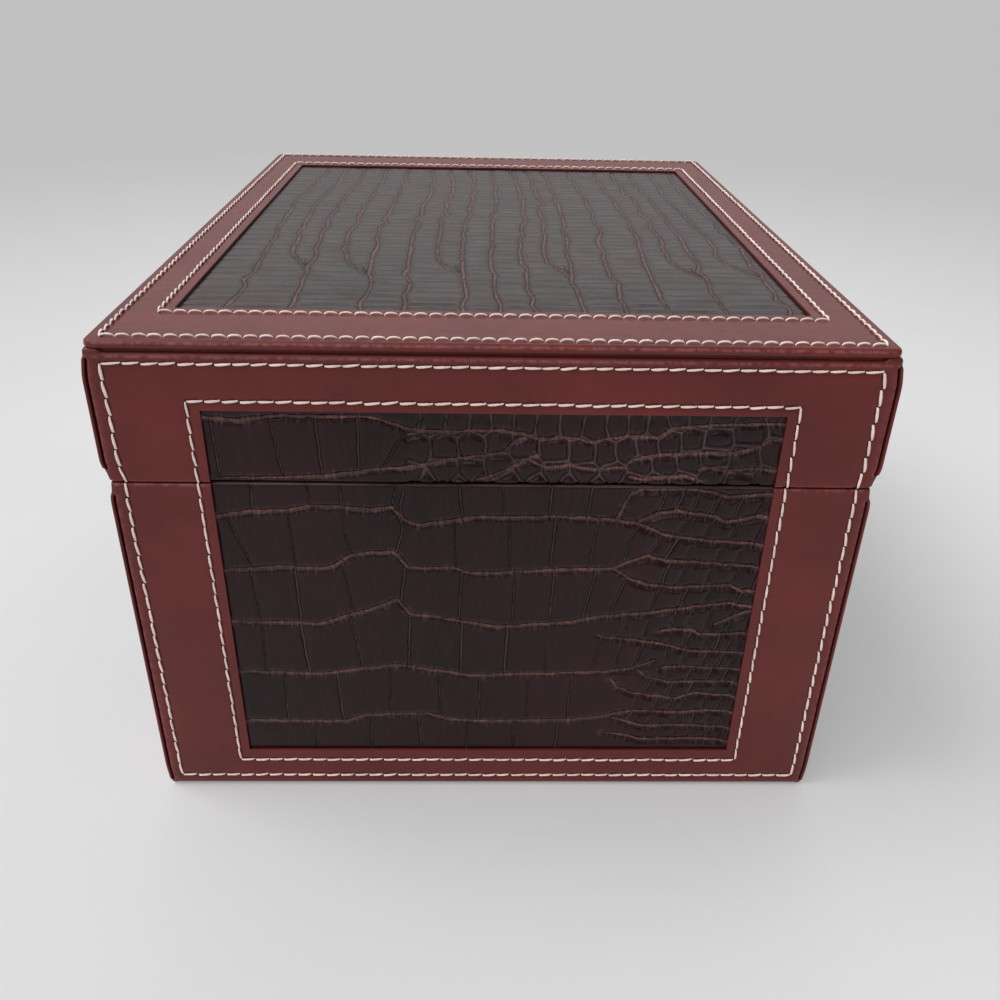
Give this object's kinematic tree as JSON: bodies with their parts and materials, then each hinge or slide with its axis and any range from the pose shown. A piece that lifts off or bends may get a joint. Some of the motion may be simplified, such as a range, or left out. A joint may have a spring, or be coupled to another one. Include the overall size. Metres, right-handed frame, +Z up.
{
  "type": "keepsake box",
  "caption": "Lidded box for papers and keepsakes, wrapped in stitched smooth and crocodile-embossed leather, with a lid that opens on brass stop hinges.",
  "frame": {"origin": "centre of the underside, on the face that the box stands on", "axes": "+Z up, the front wall faces -Y, the hinges are at +Y and +X is to the right seen from the front"},
  "size_m": [0.257, 0.3326, 0.189],
  "materials": {
    "smooth_leather": "smooth oxblood-brown leather, low sheen, cream stitching",
    "embossed_leather": "very dark burgundy-brown leather embossed with a crocodile pattern, semi-gloss",
    "inner_cloth": "tan-brown suede cloth over card",
    "underside_cloth": "dark brown felted cloth over card",
    "carcase_wood": "plain wooden board, glued",
    "hinge_brass": "brushed brass"
  },
  "bodies": {
    "base": {"base_back_board": "carcase_wood", "base_back_croc": "embossed_leather", "base_back_leather": "smooth_leather", "base_back_lining": "inner_cloth", "base_floor_board": "carcase_wood", "base_floor_pad": "inner_cloth", "base_front_board": "carcase_wood", "base_front_croc": "embossed_leather", "base_front_leather": "smooth_leather", "base_front_lining": "inner_cloth", "base_left_board": "carcase_wood", "base_left_croc": "embossed_leather", "base_left_leather": "smooth_leather", "base_left_lining": "inner_cloth", "base_right_board": "carcase_wood", "base_right_croc": "embossed_leather", "base_right_leather": "smooth_leather", "base_right_lining": "inner_cloth", "hinge_base_screws": "hinge_brass", "left_hinge_base_leaf": "hinge_brass", "left_hinge_pin": "hinge_brass", "right_hinge_base_leaf": "hinge_brass", "right_hinge_pin": "hinge_brass", "underside_cover": "underside_cloth"},
    "lid": {"hinge_lid_screws": "hinge_brass", "left_hinge_lid_leaf": "hinge_brass", "lid_back_board": "carcase_wood", "lid_back_croc": "embossed_leather", "lid_back_leather": "smooth_leather", "lid_back_lining": "inner_cloth", "lid_front_board": "carcase_wood", "lid_front_croc": "embossed_leather", "lid_front_leather": "smooth_leather", "lid_front_lining": "inner_cloth", "lid_left_board": "carcase_wood", "lid_left_croc": "embossed_leather", "lid_left_leather": "smooth_leather", "lid_left_lining": "inner_cloth", "lid_right_board": "carcase_wood", "lid_right_croc": "embossed_leather", "lid_right_leather": "smooth_leather", "lid_right_lining": "inner_cloth", "lid_top_board": "carcase_wood", "lid_top_croc": "embossed_leather", "lid_top_leather": "smooth_leather", "lid_top_pad": "inner_cloth", "right_hinge_lid_leaf": "hinge_brass"}
  },
  "joints": [
    {"name": "lid_hinge", "type": "hinge", "parent": "base", "child": "lid", "pos_m": [0, 0.1654, 0.139], "axis": [-1, 0, 0], "range_deg": [0, 95]}
  ]
}
